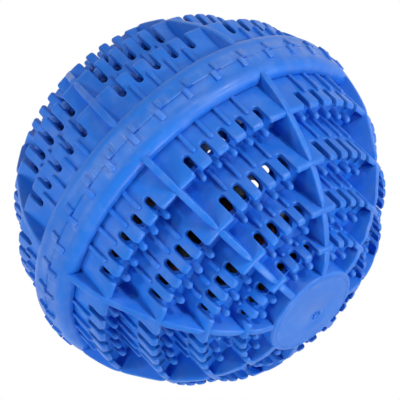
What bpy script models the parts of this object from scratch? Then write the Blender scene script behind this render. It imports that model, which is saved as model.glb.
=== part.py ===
"""Ceramic laundry ball: two plastic half shells that twist together round loose ceramic beads.

Each half is the same stepped moulding. From the seam to the pole it has a proud band with grip
bars, then four rings of upright tabs, each ring smaller and higher than the last, and a flat polar
disc. The gaps between the tabs run down into holes through the floor behind them, where the water
goes in and out. Eight fins cross the rings along meridians, and small posts stand in the trenches
between the rings.

Frame: +Z up along the ball's axis, origin at the middle of the flat face that the ball stands on.
Lengths are metres and angles are degrees. A half is drawn in its own frame, in which "height" is
the distance from the seam plane towards the pole. One sector of it, from the middle of a fin to
the middle of the next, is drawn and then spun round the axis.
"""

import math
import random
from dataclasses import dataclass

import bmesh
import bpy
from mathutils import Matrix, Vector
from mathutils.geometry import intersect_point_line

MM = 0.001

# Clearance between any two pieces that touch on the real ball.
GAP = 0.3 * MM

# Band round the seam.
BAND_RADIUS = 52.0 * MM
BAND_HEIGHT = 5.0 * MM
BAND_CROWN = 1.0 * MM
SHOULDER_RISE = 1.4 * MM
SHOULDER_DEPTH = 4.4 * MM
SHOULDER_THICKNESS = 1.7 * MM
SHOULDER_EDGE_DEPTH = 1.8 * MM
SHOULDER_EDGE_RISE = 1.05 * MM

# Grip bars on the band.
GRIP_COUNT = 36
GRIP_WIDTH = 1.6 * MM
GRIP_LENGTH = 2.75 * MM
GRIP_PROUD = 0.55 * MM
GRIP_PHASE = 8.2

# Stepped moulding.
SECTORS = 8
WALL = 1.7 * MM
FLOOR = 1.3 * MM
TRENCH_DEPTH = 2.6 * MM
SLOT_WIDTH = 2.0 * MM
POST_SIDE = 1.7 * MM


# First ring of tabs, which rises from the shoulder. Pitches are in degrees.
RING_1_RISE = 11.8 * MM
RING_1_SLOTS = 5
RING_1_SLOT_PITCH = 6.93
RING_1_SLOT_DROP = 2.1 * MM
RING_1_HOLE_TO_POST = 0.4 * MM
RING_1_POST_RISE = 1.5 * MM

# Second ring, measured from the first.
RING_2_STEP_IN = 7.5 * MM
RING_2_RISE = 12.3 * MM
RING_2_SLOTS = 5
RING_2_SLOT_PITCH = 6.90
RING_2_SLOT_DROP = 3.2 * MM
RING_2_HOLE_TO_POST = 0.3 * MM
RING_2_POST_RISE = 1.0 * MM

# Third ring, measured from the second.
RING_3_STEP_IN = 9.0 * MM
RING_3_RISE = 8.6 * MM
RING_3_SLOTS = 4
RING_3_SLOT_PITCH = 8.35
RING_3_SLOT_DROP = 2.2 * MM
RING_3_HOLE_TO_POST = 0.5 * MM
RING_3_POST_RISE = 0.5 * MM

# Fourth ring, measured from the third.
RING_4_STEP_IN = 9.6 * MM
RING_4_RISE = 4.9 * MM
RING_4_SLOTS = 3
RING_4_SLOT_PITCH = 12.24
RING_4_SLOT_DROP = 1.2 * MM
RING_4_HOLE_TO_POST = 0.5 * MM
RING_4_POST_RISE = 0.3 * MM

# Polar disc and the posts in the trench round it.
DISC_STEP_IN = 8.0 * MM
DISC_RISE = 2.3 * MM
DISC_BEVEL = 1.1 * MM
DISC_SIDES_PER_SECTOR = 4
POLAR_POSTS = 2
POLAR_POST_PITCH = 17.2

# Fins.
FIN_THICKNESS = 1.9 * MM
FIN_PROUD = 0.25 * MM
FIN_BULGE = 0.5 * MM

# Twist lock: lugs on the lower shell's spigot pass under ledges in the upper shell's bore.
RIM_THICKNESS = 1.7 * MM
SPIGOT_WALL = 1.6 * MM
SPIGOT_HEIGHT = 3.2 * MM
SPIGOT_FOOT_DROP = 0.4 * MM
LUG_PROUD = 0.8 * MM
LUG_HEIGHT = 1.1 * MM
LUG_ANGLE = 19.0
LEDGE_ANGLE = 20.0
LEDGE_HEIGHT = 1.35 * MM
STOP_ANGLE = 2.5
BORE_DEPTH = 3.6 * MM
LOCKED_TURN = 0.6
LOCK_SEGMENTS = 3
SPIGOT_SEGMENTS = 6

# Loose ceramic beads on the lower shell's floor. Each is a faceted ball of the round one's volume.
BEAD_RADIUS = 3.5 * MM
BEAD_COUNT = 58
BEAD_KINDS = ("grey", "brown", "green")
BEAD_SEED = 11

# Sizes that follow from the ones above.
SECTOR = 360.0 / SECTORS
RIM_HEIGHT = GAP / 2
SHOULDER_RADIUS = BAND_RADIUS - SHOULDER_DEPTH
SHOULDER_HEIGHT = BAND_HEIGHT + SHOULDER_RISE
SHOULDER_UNDERSIDE = SHOULDER_HEIGHT - SHOULDER_THICKNESS
BORE_RADIUS = BAND_RADIUS - RIM_THICKNESS
LEDGE_RADIUS = BORE_RADIUS - LUG_PROUD
SPIGOT_RADIUS = LEDGE_RADIUS - 2 * GAP
SPIGOT_INNER = SPIGOT_RADIUS - SPIGOT_WALL
ICOSAHEDRON_VOLUME = 2.53615
BEAD_CORNER_RADIUS = BEAD_RADIUS * (4 / 3 * math.pi / ICOSAHEDRON_VOLUME) ** (1 / 3)
WELD_DISTANCE = 0.001 * MM


@dataclass(frozen=True)
class Tier:
    """One ring of tabs, measured from the ring or shoulder outside it."""

    step_in: float
    rise: float
    slots: int
    slot_pitch: float
    slot_drop: float
    hole_to_post: float
    post_rise: float


TIERS = (
    Tier(0.0, RING_1_RISE, RING_1_SLOTS, RING_1_SLOT_PITCH, RING_1_SLOT_DROP,
         RING_1_HOLE_TO_POST, RING_1_POST_RISE),
    Tier(RING_2_STEP_IN, RING_2_RISE, RING_2_SLOTS, RING_2_SLOT_PITCH, RING_2_SLOT_DROP,
         RING_2_HOLE_TO_POST, RING_2_POST_RISE),
    Tier(RING_3_STEP_IN, RING_3_RISE, RING_3_SLOTS, RING_3_SLOT_PITCH, RING_3_SLOT_DROP,
         RING_3_HOLE_TO_POST, RING_3_POST_RISE),
    Tier(RING_4_STEP_IN, RING_4_RISE, RING_4_SLOTS, RING_4_SLOT_PITCH, RING_4_SLOT_DROP,
         RING_4_HOLE_TO_POST, RING_4_POST_RISE),
)


@dataclass(frozen=True)
class Ring:
    """A tier with its places worked out: radii from the axis, heights from the seam."""

    outer: float
    inner: float
    top: float
    floor: float
    underside: float
    slot_start: float
    hole_end: float
    post_radius: float
    post_top: float
    slot_centres: tuple
    post_centres: tuple


def spread(count, pitch):
    """Angles of a row of features centred in one sector."""
    return tuple(SECTOR / 2 + pitch * (i - (count - 1) / 2) for i in range(count))


def work_out_rings():
    """Place the four rings. Each trench has its posts in line with the next ring's slots."""
    radii = []
    tops = []
    outer = SHOULDER_RADIUS
    top = SHOULDER_HEIGHT
    for tier in TIERS:
        outer -= tier.step_in
        top += tier.rise
        radii.append(outer)
        tops.append(top)
    next_radii = radii[1:] + [outer - DISC_STEP_IN]
    post_rows = [spread(tier.slots, tier.slot_pitch) for tier in TIERS[1:]]
    post_rows.append(spread(POLAR_POSTS, POLAR_POST_PITCH))
    rings = []
    for tier, outer, top, next_outer, posts in zip(TIERS, radii, tops, next_radii, post_rows):
        inner = outer - WALL
        floor = top - TRENCH_DEPTH
        underside = floor - FLOOR
        post_radius = (inner + next_outer) / 2
        rings.append(Ring(
            outer=outer,
            inner=inner,
            top=top,
            floor=floor,
            underside=underside,
            slot_start=underside - tier.slot_drop,
            hole_end=post_radius + POST_SIDE / 2 + tier.hole_to_post,
            post_radius=post_radius,
            post_top=top + tier.post_rise,
            slot_centres=spread(tier.slots, tier.slot_pitch),
            post_centres=posts,
        ))
    return rings


RINGS = work_out_rings()
DISC_RADIUS = RINGS[-1].outer - DISC_STEP_IN
DISC_INNER = DISC_RADIUS - WALL
DISC_HEIGHT = RINGS[-1].top + DISC_RISE
DISC_UNDERSIDE = DISC_HEIGHT - FLOOR
DISC_CENTRES = tuple(SECTOR * i / DISC_SIDES_PER_SECTOR for i in range(1, DISC_SIDES_PER_SECTOR))


def point(angle, radius, height):
    """Cartesian point from an angle round the axis, a radius and a height."""
    turn = math.radians(angle)
    return Vector((radius * math.cos(turn), radius * math.sin(turn), height))


def half_angle(width, radius):
    """Angle that half of a width takes up at a radius."""
    return math.degrees(math.asin(width / 2 / radius))


def face(bm, corners):
    """Add one face. Corners that coincide with those of others are welded at the end."""
    bm.faces.new([bm.verts.new(point(*corner)) for corner in corners])


def row(angles, radius, height):
    """Corners at one radius and height."""
    return [(angle, radius, height) for angle in angles]


def strip(bm, first, second):
    """Fill between two rows of corners that run the same way round."""
    i = 0
    j = 0
    while i < len(first) - 1 or j < len(second) - 1:
        step_first = j == len(second) - 1 or (
            i < len(first) - 1 and first[i + 1][0] <= second[j + 1][0])
        if step_first:
            face(bm, [first[i], first[i + 1], second[j]])
            i += 1
        else:
            face(bm, [first[i], second[j + 1], second[j]])
            j += 1


def tabs_only(bm, first, second, start=0):
    """Fill between two equal rows over every other step, such as the tabs and not the slots."""
    for i in range(start, len(first) - 1, 2):
        strip(bm, first[i:i + 2], second[i:i + 2])


def sweep(bm, profile, angles):
    """Carry a profile of radii and heights round through a row of angles."""
    rows = [row(angles, radius, height) for radius, height in profile]
    for low, high in zip(rows, rows[1:]):
        strip(bm, low, high)


def cross_section(bm, angle, profile):
    """Flat face in the plane through the axis at one angle."""
    face(bm, [(angle, radius, height) for radius, height in profile])


def all_round(corners):
    """A sector's row repeated for the whole circle, with its first corner again at the end."""
    whole = [(angle + SECTOR * k, radius, height)
             for k in range(SECTORS) for angle, radius, height in corners]
    angle, radius, height = whole[0]
    return whole + [(angle + 360.0, radius, height)]


def steps_between(start, end, count):
    return [start + (end - start) * i / count for i in range(count + 1)]


def slot_edges(ring):
    """Angles of both sides of each slot in a sector."""
    half = half_angle(SLOT_WIDTH, ring.outer)
    return [centre + side * half for centre in ring.slot_centres for side in (-1, 1)]


def between_fins(radius, angles):
    """Angles of a sector's features, with those of the fin faces that bound it."""
    fin = half_angle(FIN_THICKNESS, radius)
    return [fin, *angles, SECTOR - fin]


def sector_row(angles, radius, height):
    """Corners on the outside of a sector, from one fin's face to the next."""
    return row(between_fins(radius, angles), radius, height)


def inside_row(angles, radius, height):
    """Corners on the inside of a sector, where there are no fins."""
    return row([0.0, *angles, SECTOR], radius, height)


def add_tabs(bm, ring):
    """Upright tabs of one ring, the slots between them and the holes behind the slots."""
    edges = slot_edges(ring)
    outside = (
        (ring.outer, ring.slot_start),
        (ring.outer, ring.top),
        (ring.inner, ring.top),
        (ring.inner, ring.floor),
        (ring.hole_end, ring.floor),
    )
    inside = (
        (ring.inner, ring.slot_start),
        (ring.inner, ring.underside),
        (ring.hole_end, ring.underside),
    )
    outer_rows = [sector_row(edges, *corner) for corner in outside]
    inner_rows = [inside_row(edges, *corner) for corner in inside]
    for rows in (outer_rows, inner_rows):
        for low, high in zip(rows, rows[1:]):
            tabs_only(bm, low, high)
    tabs_only(bm, outer_rows[0], inner_rows[0], start=1)
    tabs_only(bm, outer_rows[-1], inner_rows[-1], start=1)
    for angle in edges:
        cross_section(bm, angle, outside + inside[::-1])


def add_trench(bm, ring, next_outer, next_centres):
    """Trench floor between one ring and the next, with its square posts."""
    half = half_angle(POST_SIDE, ring.post_radius)
    sides = [centre + side * half for centre in ring.post_centres for side in (-1, 1)]
    far = ring.post_radius + POST_SIDE / 2
    near = ring.post_radius - POST_SIDE / 2
    far_row = sector_row(sides, far, ring.floor)
    near_row = sector_row(sides, near, ring.floor)
    strip(bm, sector_row(slot_edges(ring), ring.hole_end, ring.floor), far_row)
    tabs_only(bm, far_row, near_row)
    strip(bm, near_row, sector_row(next_centres, next_outer, ring.floor))
    for left, right in zip(sides[::2], sides[1::2]):
        foot = ((left, far), (right, far), (right, near), (left, near))
        face(bm, [(angle, radius, ring.post_top) for angle, radius in foot])
        for (a0, r0), (a1, r1) in zip(foot, foot[1:] + foot[:1]):
            face(bm, [(a0, r0, ring.floor), (a1, r1, ring.floor),
                      (a1, r1, ring.post_top), (a0, r0, ring.post_top)])


def add_rings(bm):
    """The four rings of one sector, inside and outside."""
    wall_from = SHOULDER_HEIGHT
    inside_from = SHOULDER_UNDERSIDE
    next_walls = [(ring.outer, ring.inner, ring.slot_centres) for ring in RINGS[1:]]
    next_walls.append((DISC_RADIUS, DISC_INNER, DISC_CENTRES))
    for ring, (next_outer, next_inner, next_centres) in zip(RINGS, next_walls):
        edges = slot_edges(ring)
        strip(bm, sector_row(ring.slot_centres, ring.outer, wall_from),
              sector_row(edges, ring.outer, ring.slot_start))
        strip(bm, inside_row(ring.slot_centres, ring.inner, inside_from),
              inside_row(edges, ring.inner, ring.slot_start))
        add_tabs(bm, ring)
        add_trench(bm, ring, next_outer, next_centres)
        strip(bm, inside_row(edges, ring.hole_end, ring.underside),
              inside_row(next_centres, next_inner, ring.underside))
        wall_from = ring.floor
        inside_from = ring.underside


def add_disc_edge(bm):
    """Side and bevelled edge of the polar disc, and the side of the cup under it."""
    edge_height = DISC_HEIGHT - DISC_BEVEL
    sides = between_fins(DISC_RADIUS, DISC_CENTRES)
    sweep(bm, ((DISC_RADIUS, RINGS[-1].floor), (DISC_RADIUS, edge_height)), sides)
    sweep(bm, ((DISC_RADIUS, edge_height), (DISC_RADIUS - DISC_BEVEL, DISC_HEIGHT)),
          [*sides, SECTOR + sides[0]])
    sweep(bm, ((DISC_INNER, RINGS[-1].underside), (DISC_INNER, DISC_UNDERSIDE)),
          [0.0, *DISC_CENTRES, SECTOR])


def add_disc_faces(bm):
    """Flat outer and inner faces of the polar disc."""
    sides = between_fins(DISC_RADIUS, DISC_CENTRES)
    face(bm, all_round(row(sides, DISC_RADIUS - DISC_BEVEL, DISC_HEIGHT))[:-1])
    face(bm, all_round(row([0.0, *DISC_CENTRES], DISC_INNER, DISC_UNDERSIDE))[:-1])


def bulged(start, end):
    """Middle of a fin's edge between two of its corners, pushed outwards."""
    middle = (Vector(start) + Vector(end)) / 2
    along = (Vector(end) - Vector(start)).normalized()
    return middle.x - along.y * FIN_BULGE, middle.y + along.x * FIN_BULGE


def fin_steps():
    """Corners of the moulding under a fin, from the band to the polar disc."""
    steps = list(shoulder_profile())
    next_radii = [ring.outer for ring in RINGS[1:]] + [DISC_RADIUS]
    for ring, next_outer in zip(RINGS, next_radii):
        steps += [(ring.outer, ring.slot_start), (ring.outer, ring.top),
                  (ring.inner, ring.top), (ring.inner, ring.floor),
                  (ring.hole_end, ring.floor),
                  (ring.post_radius + POST_SIDE / 2, ring.floor),
                  (ring.post_radius - POST_SIDE / 2, ring.floor),
                  (next_outer, ring.floor)]
    return steps + [(DISC_RADIUS, DISC_HEIGHT - DISC_BEVEL)]


def add_fin_halves(bm):
    """Side of the fin at each end of the sector, and the outer edge of the first."""
    steps = fin_steps()
    corners = [steps[-1]]
    corners += [(ring.outer + FIN_PROUD, ring.top + FIN_PROUD) for ring in reversed(RINGS)]
    corners.append(steps[0])
    edge = corners[:1]
    for start, end in zip(corners, corners[1:]):
        edge += [bulged(start, end), end]
    outline = [(radius, height, half_angle(FIN_THICKNESS, radius))
               for radius, height in steps + edge[1:-1]]
    face(bm, [(half, radius, height) for radius, height, half in outline])
    face(bm, [(SECTOR - half, radius, height) for radius, height, half in outline])
    for (r0, h0), (r1, h1) in zip(edge, edge[1:]):
        a0 = half_angle(FIN_THICKNESS, r0)
        a1 = half_angle(FIN_THICKNESS, r1)
        face(bm, [(-a0, r0, h0), (a0, r0, h0), (a1, r1, h1), (-a1, r1, h1)])


def band_radius_at(height):
    """Convex profile of the band."""
    return BAND_RADIUS - BAND_CROWN * (height / BAND_HEIGHT) ** 2


def shoulder_profile():
    """Corners of the band's shoulder, from the top of the band in to the first wall."""
    start = band_radius_at(BAND_HEIGHT)
    return ((start, BAND_HEIGHT),
            (start - SHOULDER_EDGE_DEPTH, BAND_HEIGHT + SHOULDER_EDGE_RISE),
            (SHOULDER_RADIUS, SHOULDER_HEIGHT))


def add_shoulder(bm):
    """Sloping shoulder between the band and the first wall."""
    rows = [sector_row(RINGS[0].slot_centres, *corner) for corner in shoulder_profile()]
    for low, high in zip(rows, rows[1:]):
        strip(bm, low, high)


def add_band(bm, closure_row):
    """Band with its grip bars, and the rim from the band in to the twist lock."""
    half = half_angle(GRIP_WIDTH, BAND_RADIUS)
    grips = [GRIP_PHASE + 360.0 * i / GRIP_COUNT for i in range(GRIP_COUNT)]
    angles = [grip + side * half for grip in grips for side in (-1, 1)]
    angles.append(angles[0] + 360.0)
    grip_end = RIM_HEIGHT + GRIP_LENGTH
    end_radius = band_radius_at(grip_end)
    rim = row(angles, BAND_RADIUS, RIM_HEIGHT)
    end = row(angles, end_radius, grip_end)
    crown = sector_row(RINGS[0].slot_centres, *shoulder_profile()[0])
    tabs_only(bm, rim, end, start=1)
    strip(bm, end, all_round(crown))
    strip(bm, rim, all_round(closure_row))
    profile = ((BAND_RADIUS, RIM_HEIGHT), (BAND_RADIUS + GRIP_PROUD, RIM_HEIGHT),
               (end_radius + GRIP_PROUD, grip_end), (end_radius, grip_end))
    for grip in grips:
        sweep(bm, profile, [grip - half, grip + half])
        cross_section(bm, grip - half, profile)
        cross_section(bm, grip + half, profile)


def shoulder_underside():
    """Row where the shoulder's underside meets the first wall."""
    first = RINGS[0]
    return all_round(row([0.0, *first.slot_centres], first.inner, SHOULDER_UNDERSIDE))


def add_spigot(bm):
    """Lower shell's half of the twist lock: one sector of the spigot, with its lug."""
    start = STOP_ANGLE + half_angle(2 * GAP, SPIGOT_RADIUS)
    lug = steps_between(start, start + LUG_ANGLE, LOCK_SEGMENTS)
    plain = steps_between(lug[-1], start + SECTOR, LOCK_SEGMENTS)
    tip = -(RIM_HEIGHT + SPIGOT_HEIGHT)
    lug_low = -(RIM_HEIGHT + LEDGE_HEIGHT + GAP)
    lug_high = lug_low - LUG_HEIGHT
    lug_radius = SPIGOT_RADIUS + LUG_PROUD
    plain_profile = [(SPIGOT_RADIUS, height) for height in (RIM_HEIGHT, lug_low, lug_high, tip)]
    lug_profile = plain_profile[:2] + [(lug_radius, lug_low), (lug_radius, lug_high)]
    lug_profile += plain_profile[2:]
    sweep(bm, plain_profile, plain)
    sweep(bm, lug_profile, lug)
    for end in (lug[0], lug[-1]):
        cross_section(bm, end, lug_profile[1:-1])
    sweep(bm, ((SPIGOT_INNER, tip), (SPIGOT_INNER, SHOULDER_UNDERSIDE - SPIGOT_FOOT_DROP)),
          steps_between(0.0, SECTOR, SPIGOT_SEGMENTS))
    return lug + plain[1:-1]


def close_spigot(bm, lock_angles):
    """Tip of the spigot, and the underside of the shoulder inside it."""
    inner = steps_between(0.0, SECTOR, SPIGOT_SEGMENTS)[:-1]
    tip = -(RIM_HEIGHT + SPIGOT_HEIGHT)
    foot = SHOULDER_UNDERSIDE - SPIGOT_FOOT_DROP
    strip(bm, all_round(row(lock_angles, SPIGOT_RADIUS, tip)),
          all_round(row(inner, SPIGOT_INNER, tip)))
    strip(bm, all_round(row(inner, SPIGOT_INNER, foot)), shoulder_underside())
    return row(lock_angles, SPIGOT_RADIUS, RIM_HEIGHT)


def add_bore(bm):
    """Upper shell's half of the twist lock: one sector of the bore, with its ledge and stop."""
    ledge_start = SECTOR - STOP_ANGLE - LEDGE_ANGLE
    plain = steps_between(0.0, ledge_start, LOCK_SEGMENTS)
    ledge = steps_between(ledge_start, ledge_start + LEDGE_ANGLE, LOCK_SEGMENTS)
    ledge_top = RIM_HEIGHT + LEDGE_HEIGHT
    ledge_profile = [(BORE_RADIUS, RIM_HEIGHT), (LEDGE_RADIUS, RIM_HEIGHT),
                     (LEDGE_RADIUS, ledge_top), (BORE_RADIUS, ledge_top)]
    stop_profile = [*ledge_profile[:3], (LEDGE_RADIUS, BORE_DEPTH), (BORE_RADIUS, BORE_DEPTH)]
    sweep(bm, (ledge_profile[0], ledge_profile[3], stop_profile[4]), plain)
    sweep(bm, [*ledge_profile, stop_profile[4]], ledge)
    sweep(bm, stop_profile, [ledge[-1], SECTOR])
    cross_section(bm, ledge_start, ledge_profile)
    cross_section(bm, ledge[-1], [*ledge_profile[2:], *stop_profile[:2:-1]])
    cross_section(bm, SECTOR, [*stop_profile, ledge_profile[3]])
    return plain + ledge[1:]


def close_bore(bm, lock_angles):
    """Underside of the shoulder, from the end of the bore in to the first wall."""
    strip(bm, all_round(row(lock_angles, BORE_RADIUS, BORE_DEPTH)), shoulder_underside())
    return row(lock_angles, BORE_RADIUS, RIM_HEIGHT)


def make_shell(name, add_lock, close_lock, placing, material):
    """One half of the ball. Its origin is on the twist axis, in the seam plane."""
    bm = bmesh.new()
    add_rings(bm)
    add_disc_edge(bm)
    add_shoulder(bm)
    add_fin_halves(bm)
    lock_angles = add_lock(bm)
    bmesh.ops.spin(bm, geom=bm.verts[:] + bm.edges[:] + bm.faces[:], axis=(0.0, 0.0, 1.0),
                   angle=math.radians(360.0 - SECTOR), steps=SECTORS - 1, use_duplicate=True)
    add_disc_faces(bm)
    closure_row = close_lock(bm, lock_angles)
    add_band(bm, closure_row)
    bmesh.ops.remove_doubles(bm, verts=bm.verts, dist=WELD_DISTANCE)
    bmesh.ops.triangulate(bm, faces=bm.faces)
    bmesh.ops.recalc_face_normals(bm, faces=bm.faces)
    bmesh.ops.transform(bm, matrix=placing, verts=bm.verts)
    return add_object(name, bm, material, Vector((0.0, 0.0, DISC_HEIGHT)))


def add_object(name, bm, material, location):
    """Turn a bmesh into a named object at a place."""
    mesh = bpy.data.meshes.new(name)
    bm.to_mesh(mesh)
    bm.free()
    mesh.materials.append(material)
    mesh.shade_smooth()
    mesh.set_sharp_from_angle(angle=math.radians(25.0))
    obj = bpy.data.objects.new(name, mesh)
    obj.location = location
    bpy.context.scene.collection.objects.link(obj)
    return obj


def inner_profile():
    """Inside of a half from the first wall to the axis, as radius and height."""
    corners = [(RINGS[0].inner, 0.0)]
    following = [ring.inner for ring in RINGS[1:]] + [DISC_INNER]
    for ring, next_inner in zip(RINGS, following):
        corners += [(ring.inner, ring.underside), (next_inner, ring.underside)]
    corners += [(DISC_INNER, DISC_UNDERSIDE), (0.0, DISC_UNDERSIDE)]
    return [Vector(corner) for corner in corners]


def bead_fits(profile, radius, height):
    """Whether a bead there lies inside the shell and clears its inner surface."""
    ceiling = max((corner.y for corner in profile if corner.x > radius), default=0.0)
    if height > ceiling:
        return False
    centre = Vector((radius, height))
    for start, end in zip(profile, profile[1:]):
        near, along = intersect_point_line(centre, start, end)
        near = start if along < 0.0 else end if along > 1.0 else near.to_2d()
        if (near - centre).length < BEAD_CORNER_RADIUS + GAP - WELD_DISTANCE:
            return False
    return True


def bead_places():
    """Centres of the beads on a close-packed lattice, from the bottom up and the axis out."""
    profile = inner_profile()
    spacing = 2 * BEAD_RADIUS + GAP
    layer_rise = spacing * math.sqrt(2.0 / 3.0)
    reach = int(BAND_RADIUS / spacing) + 2
    places = []
    height = DISC_UNDERSIDE - BEAD_CORNER_RADIUS - GAP
    shift = 0.0
    while len(places) < BEAD_COUNT and height > 0.0:
        layer = []
        for across in range(-reach, reach + 1):
            for along in range(-reach, reach + 1):
                x = spacing * (along + 0.5 * across)
                y = spacing * across * math.sqrt(3.0) / 2 + shift
                if bead_fits(profile, math.hypot(x, y), height):
                    layer.append(Vector((x, y, DISC_HEIGHT - height)))
        places += sorted(layer, key=lambda place: (round(place.xy.length, 6), place.x, place.y))
        height -= layer_rise
        shift = spacing / math.sqrt(3.0) - shift
    return places[:BEAD_COUNT]


def make_beads(materials):
    """Ceramic beads, each an object of its own."""
    chooser = random.Random(BEAD_SEED)
    for number, place in enumerate(bead_places(), start=1):
        bm = bmesh.new()
        bmesh.ops.create_icosphere(bm, subdivisions=1, radius=BEAD_CORNER_RADIUS)
        kind = chooser.choice(BEAD_KINDS)
        add_object(f"{kind}_bead_{number:02}", bm, materials[kind], place)


def make_material(name, colour, roughness):
    """Principled material with one colour, given as linear red, green and blue."""
    material = bpy.data.materials.new(name)
    material.use_nodes = True
    shader = material.node_tree.nodes["Principled BSDF"]
    shader.inputs["Base Color"].default_value = (*colour, 1.0)
    shader.inputs["Roughness"].default_value = roughness
    shader.inputs["Metallic"].default_value = 0.0
    return material


def main():
    for obj in list(bpy.data.objects):
        bpy.data.objects.remove(obj, do_unlink=True)
    blue = make_material("blue_plastic", (0.028, 0.155, 0.75), 0.42)
    ceramics = {
        "grey": make_material("grey_ceramic", (0.22, 0.19, 0.16), 0.7),
        "brown": make_material("brown_ceramic", (0.09, 0.03, 0.02), 0.7),
        "green": make_material("green_ceramic", (0.07, 0.10, 0.08), 0.7),
    }
    turned_over = Matrix.Rotation(math.pi, 4, "X")
    turned_round = Matrix.Rotation(math.radians(SECTOR + LOCKED_TURN), 4, "Z")
    make_shell("lower_shell", add_spigot, close_spigot, turned_over, blue)
    make_shell("upper_shell", add_bore, close_bore, turned_round, blue)
    make_beads(ceramics)


main()
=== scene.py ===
"""Looks of the ceramic laundry ball: moulded blue half shells, ceramic beads, floor, light and camera.

Each half shell is drawn once in its own frame and placed twice. In that frame "height" runs from the
seam to the pole, and "turn" is the angle round the axis. Lengths are metres, and angles are written
in degrees.
"""

import math

import bmesh
import bpy
import numpy as np
from mathutils import Matrix, Vector


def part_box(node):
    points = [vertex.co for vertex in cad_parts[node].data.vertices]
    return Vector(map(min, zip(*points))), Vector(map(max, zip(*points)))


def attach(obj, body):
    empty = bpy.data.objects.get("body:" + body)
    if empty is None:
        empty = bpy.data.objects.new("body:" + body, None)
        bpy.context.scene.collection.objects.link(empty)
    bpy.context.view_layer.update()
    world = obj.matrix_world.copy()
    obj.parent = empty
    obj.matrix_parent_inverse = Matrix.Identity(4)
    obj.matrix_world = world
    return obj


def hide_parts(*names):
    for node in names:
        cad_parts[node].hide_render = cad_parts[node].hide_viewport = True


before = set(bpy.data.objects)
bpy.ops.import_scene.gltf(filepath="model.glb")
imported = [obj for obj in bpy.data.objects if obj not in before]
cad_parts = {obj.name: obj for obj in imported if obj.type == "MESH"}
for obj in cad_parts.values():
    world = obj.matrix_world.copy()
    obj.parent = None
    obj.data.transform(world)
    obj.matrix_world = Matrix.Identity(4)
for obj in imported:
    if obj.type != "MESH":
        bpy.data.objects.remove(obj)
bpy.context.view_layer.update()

bl_info = {
    "name": "Ceramic laundry ball",
    "version": (1, 0, 0),
    "blender": (4, 5, 0),
    "location": "3D View > Sidebar > Laundry ball",
    "description": "Dresses the packed laundry ball with its moulded surfaces, materials and studio",
    "category": "Object",
}

MM = 0.001
SECTORS = 8
SECTOR = 360.0 / SECTORS
# The solid shells' rims stand this far from the seam, and the dressed ones nearly meet there.
SOLID_RIM_HEIGHT = 0.15 * MM
RIM_HEIGHT = 0.03 * MM
SEAM_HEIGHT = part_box("upper_shell")[0].z - SOLID_RIM_HEIGHT
BEAD_NODES = sorted(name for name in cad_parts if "_bead_" in name)
BEAD_KINDS = ("grey", "brown", "green")


def length(label, description, millimetres):
    """Property for one of the ball's lengths."""
    return bpy.props.FloatProperty(name=label, description=description, default=millimetres * MM,
                                   unit="LENGTH", precision=5)


def colour(label, description, hex_colour):
    """Property for one of the finishes' colours."""
    return bpy.props.StringProperty(name=label, description=description, default=hex_colour)


def camera_angle(label, description, degrees):
    """Property for one of the camera's angles."""
    return bpy.props.FloatProperty(name=label, description=description,
                                   default=math.radians(degrees), unit="ROTATION")


def lamp_power(label, lamp, watts):
    """Property for the power of one of the studio's lamps."""
    return bpy.props.FloatProperty(name=label, description=f"Power of the {lamp}", default=watts,
                                   unit="POWER")


class BallSizes(bpy.types.PropertyGroup):
    """Sizes of the moulding and the beads that a user would change."""

    band_radius: length("Band radius", "Radius of the band at the seam", 51.8)
    wall: length("Wall", "Thickness of the upright tab walls", 1.5)
    floor: length("Floor", "Thickness of the trench floors", 1.3)
    slot_width: length("Slot width", "Width of the slots between the tabs", 2.0)
    post_diameter: length("Post diameter", "Diameter of the round posts in the trenches", 2.1)
    rib_width: length("Rib width", "Width of the ribs up the middle of the tabs", 1.2)
    fin_thickness: length("Fin thickness", "Thickness of the eight fins at their foot", 2.2)
    grip_width: length("Grip bar width", "Width of the bars on the band", 1.6)
    bead_radius: length("Bead radius", "Radius of the ceramic beads", 3.5)


class BallColours(bpy.types.PropertyGroup):
    """Colours of the finishes, as sRGB hex."""

    plastic: colour("Plastic", "Blue of the moulded polypropylene", "2073DA")
    plastic_deep: colour("Plastic, deep", "Slightly deeper blue in the slow flow marks", "1D6CD2")
    grey_ceramic: colour("Grey ceramic", "Grey-brown fired clay beads", "8A8178")
    brown_ceramic: colour("Brown ceramic", "Red-brown fired clay beads", "6B3A2C")
    green_ceramic: colour("Green ceramic", "Dark grey-green fired mineral beads", "4C554B")
    scuff: colour("Scuffs", "Pale haze, bloom and scratches on the plastic", "8FA9DE")
    floor: colour("Floor", "Pale studio floor", "F4F4F4")


class StageSettings(bpy.types.PropertyGroup):
    """Camera of the photograph and the studio's lamps."""

    azimuth: camera_angle("Camera azimuth", "Angle of the camera round +Z from +X", 2.86)
    elevation: camera_angle("Camera elevation", "Angle of the camera above the seam's plane", -27.08)
    roll: camera_angle("Camera roll", "Anticlockwise turn of the camera about its own axis", -44.91)
    distance: length("Camera distance", "Distance from the camera to the ball's middle", 722.04)
    lens: bpy.props.FloatProperty(
        name="Lens", description="Focal length on a 36 mm sensor", default=241.97, unit="CAMERA")
    key_power: lamp_power("Key light", "small lamp above at the right", 5.5)
    right_power: lamp_power("Right light", "small lamp at the right", 5.1)
    top_power: lamp_power("Top light", "small lamp above", 2.5)
    left_power: lamp_power("Left light", "small lamp at the left", 3.9)
    far_right_power: lamp_power("Far right light", "wide lamp at the far right", 2.6)
    far_left_power: lamp_power("Far left light", "wide lamp at the far left", 1.6)
    low_right_power: lamp_power("Low right light", "wide lamp below at the right", 6.5)
    low_left_power: lamp_power("Low left light", "wide lamp below at the left", 9.2)
    rear_power: lamp_power("Rear light", "wide lamp behind", 7.0)
    ambient: bpy.props.FloatProperty(
        name="Ambient", description="Strength of the white surroundings' light", default=0.1)


def spread(count, pitch):
    """Angles of a row of features centred in one sector."""
    return SECTOR / 2 + pitch * (np.arange(count) - (count - 1) / 2)


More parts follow.
